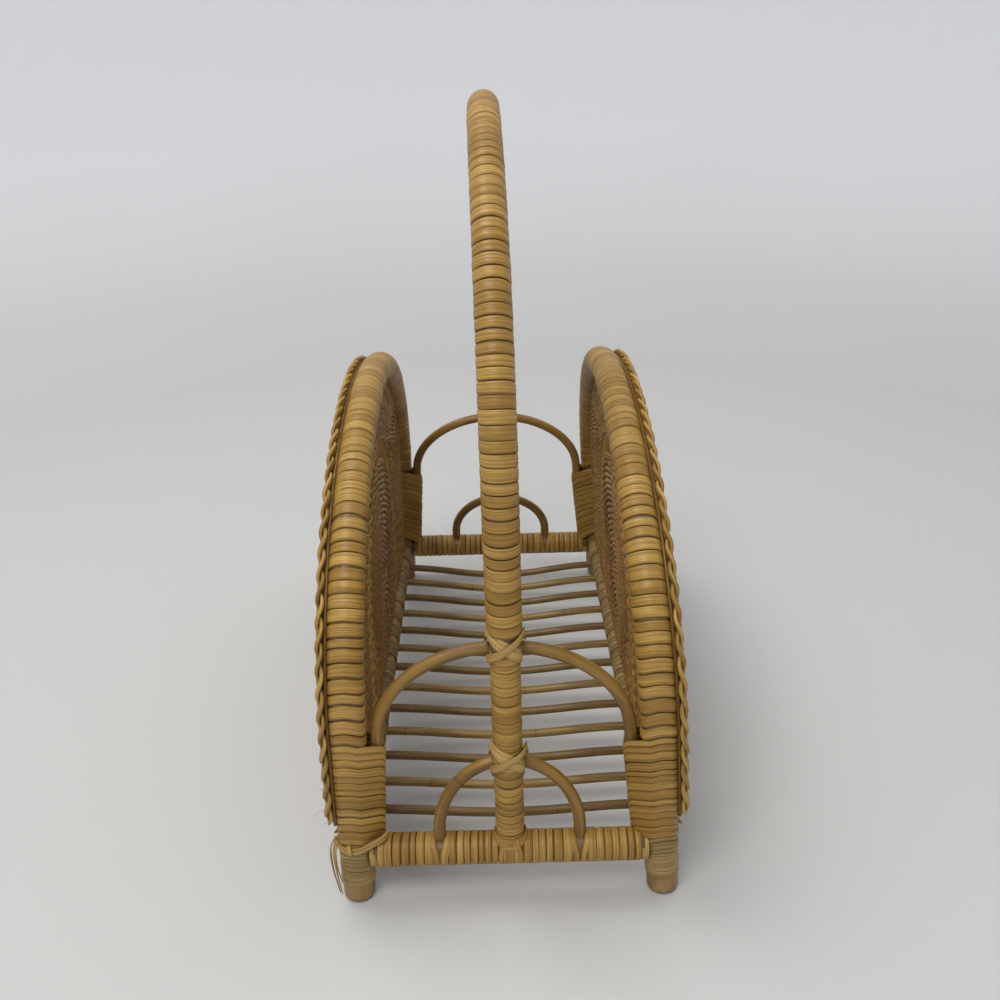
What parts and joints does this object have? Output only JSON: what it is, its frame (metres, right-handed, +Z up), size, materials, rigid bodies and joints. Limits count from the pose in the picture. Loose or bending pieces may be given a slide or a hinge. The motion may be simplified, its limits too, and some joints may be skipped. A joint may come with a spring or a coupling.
{
  "type": "magazine basket",
  "caption": "Open magazine basket of bent cane poles bound in flat reed, with woven fan side panels, a slatted floor, arched ends and a tall hooped carrying handle.",
  "frame": {"origin": "on the floor under the middle of the whole basket", "axes": "+Z up, +Y along the length towards the far end, +X to the right seen from the near end"},
  "size_m": [0.2078, 0.4178, 0.4339],
  "materials": {
    "pole_cane": "satin bare rattan pole",
    "flat_reed": "satin split reed wound flat, with fine fibres along it",
    "arch_cane": "satin thin round cane",
    "slat_cane": "dull thin round cane",
    "woven_cane": "matt woven round cane strands",
    "nail_steel": "plain steel"
  },
  "bodies": {
    "root": {"front_left_end_rail_nail": "nail_steel", "front_left_side_rail_nail": "nail_steel", "back_left_end_rail_nail": "nail_steel", "back_left_side_rail_nail": "nail_steel", "front_right_end_rail_nail": "nail_steel", "front_right_side_rail_nail": "nail_steel", "back_right_end_rail_nail": "nail_steel", "back_right_side_rail_nail": "nail_steel", "left_hoop": "pole_cane", "left_side_rail": "pole_cane", "left_panel": "woven_cane", "left_braid": "woven_cane", "left_hoop_binding": "flat_reed", "front_left_leg_binding": "flat_reed", "front_left_foot_binding": "flat_reed", "back_left_leg_binding": "flat_reed", "back_left_foot_binding": "flat_reed", "right_hoop": "pole_cane", "right_side_rail": "pole_cane", "right_panel": "woven_cane", "right_braid": "woven_cane", "right_hoop_binding": "flat_reed", "front_right_leg_binding": "flat_reed", "front_right_foot_binding": "flat_reed", "back_right_leg_binding": "flat_reed", "back_right_foot_binding": "flat_reed", "handle_hoop": "pole_cane", "handle_binding": "flat_reed", "front_post_binding": "flat_reed", "back_post_binding": "flat_reed", "floor_slat_01": "slat_cane", "floor_slat_02": "slat_cane", "floor_slat_03": "slat_cane", "floor_slat_04": "slat_cane", "floor_slat_05": "slat_cane", "floor_slat_06": "slat_cane", "floor_slat_07": "slat_cane", "floor_slat_08": "slat_cane", "floor_slat_09": "slat_cane", "floor_slat_10": "slat_cane", "floor_slat_11": "slat_cane", "floor_slat_12": "slat_cane", "floor_slat_13": "slat_cane", "front_end_rail": "pole_cane", "front_left_rail_binding": "flat_reed", "front_right_rail_binding": "flat_reed", "front_post_strap": "flat_reed", "front_outer_arch": "arch_cane", "front_inner_arch": "arch_cane", "front_upper_lashing": "flat_reed", "front_lower_lashing": "flat_reed", "back_end_rail": "pole_cane", "back_left_rail_binding": "flat_reed", "back_right_rail_binding": "flat_reed", "back_post_strap": "flat_reed", "back_outer_arch": "arch_cane", "back_inner_arch": "arch_cane", "back_upper_lashing": "flat_reed", "back_lower_lashing": "flat_reed", "front_left_tie": "flat_reed"}
  },
  "joints": []
}
